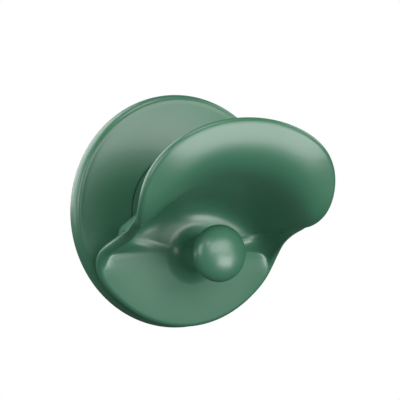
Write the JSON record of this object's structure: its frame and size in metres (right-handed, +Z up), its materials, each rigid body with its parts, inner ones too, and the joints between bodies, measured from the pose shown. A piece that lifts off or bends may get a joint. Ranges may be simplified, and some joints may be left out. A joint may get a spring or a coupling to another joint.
{
  "type": "pacifier",
  "caption": "Pacifier with a round domed mouth shield, hollow soft teat, curled thumb handle that opens away from the shield, and a domed knob pinning the handle on.",
  "frame": {"origin": "centre of the plane on which the shield's rim meets the face, on the teat's axis", "axes": "+Z up, -Y forward away from the face, +Y along the teat into the mouth, +X to the side"},
  "size_m": [0.046, 0.0636, 0.046],
  "materials": {
    "shield": "satin-gloss green moulded plastic",
    "core_plug": "satin green moulded plastic",
    "teat": "clear soft silicone",
    "handle": "glossy green moulded plastic",
    "knob": "glossy green moulded plastic"
  },
  "bodies": {
    "root": {"shield": "shield", "core_plug": "core_plug", "teat": "teat", "handle": "handle", "knob": "knob"}
  },
  "joints": []
}
